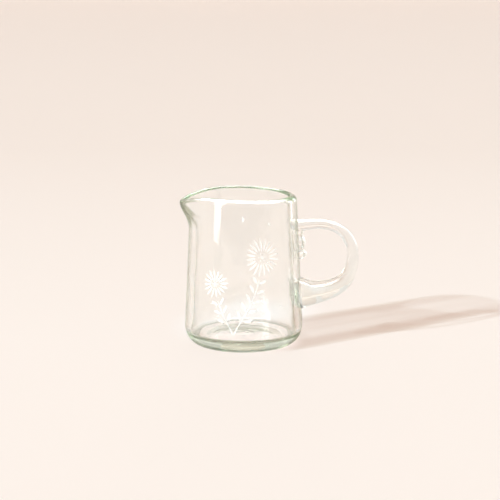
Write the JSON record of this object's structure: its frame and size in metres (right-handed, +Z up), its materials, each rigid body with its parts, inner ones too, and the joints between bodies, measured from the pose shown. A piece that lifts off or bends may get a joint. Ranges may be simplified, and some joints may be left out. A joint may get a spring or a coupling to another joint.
{
  "type": "creamer",
  "caption": "Hand-blown clear glass creamer: a tapering thick-walled jug with a pulled pouring lip and a looped solid glass handle with a crimped tail.",
  "frame": {"origin": "on the standing surface, under the middle of the overall length from pouring lip to handle", "axes": "+X from the pouring lip towards the handle, +Z up"},
  "size_m": [0.1172, 0.0776, 0.1],
  "materials": {
    "clear_glass": "clear fire-polished glass with a faint green tint in its thick edges"
  },
  "bodies": {
    "root": {"body": "clear_glass", "handle": "clear_glass"}
  },
  "joints": []
}
